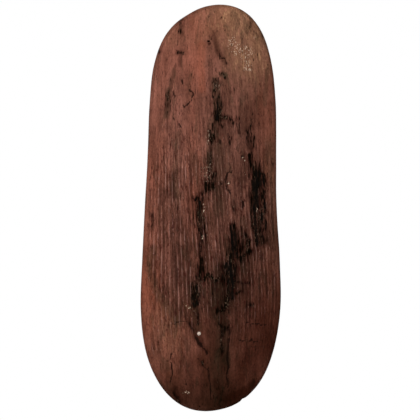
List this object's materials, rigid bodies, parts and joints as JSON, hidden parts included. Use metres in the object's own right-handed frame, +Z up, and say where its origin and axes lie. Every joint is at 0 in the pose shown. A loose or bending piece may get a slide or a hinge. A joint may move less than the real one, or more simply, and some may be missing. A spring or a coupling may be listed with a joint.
{
  "type": "hand shield",
  "caption": "Long oval wooden hand shield with a domed, fluted face, gum-filled patches, a dished back and a pegged hand grip over a knuckle hollow.",
  "frame": {"origin": "middle of the hand grip, where the fist closes round it", "axes": "+Z up the length of the shield, +X to the right seen from the front, -Y out of the carved face, +Y out of the back towards the bearer"},
  "size_m": [0.2484, 0.06, 0.72],
  "materials": {
    "ochred_wood": "soft light wood rubbed with red ochre and darkened by handling, satin",
    "grip_wood": "close hardwood polished by the hand",
    "gum": "dark plant gum, dull and cracked on the face, glossier round the grip",
    "pale_wood": "bare pale wood, dry"
  },
  "bodies": {
    "root": {"shield_board": "ochred_wood", "hand_grip": "grip_wood", "grip_peg_1": "grip_wood", "grip_peg_2": "grip_wood", "grip_peg_3": "grip_wood", "grip_peg_4": "grip_wood", "grip_gum_upper": "gum", "grip_gum_lower": "gum", "gum_fill_right": "gum", "gum_fill_crown": "gum", "gum_fill_centre": "gum", "gum_fill_low": "gum", "gum_fill_left": "gum", "pale_plug": "pale_wood"}
  },
  "joints": []
}
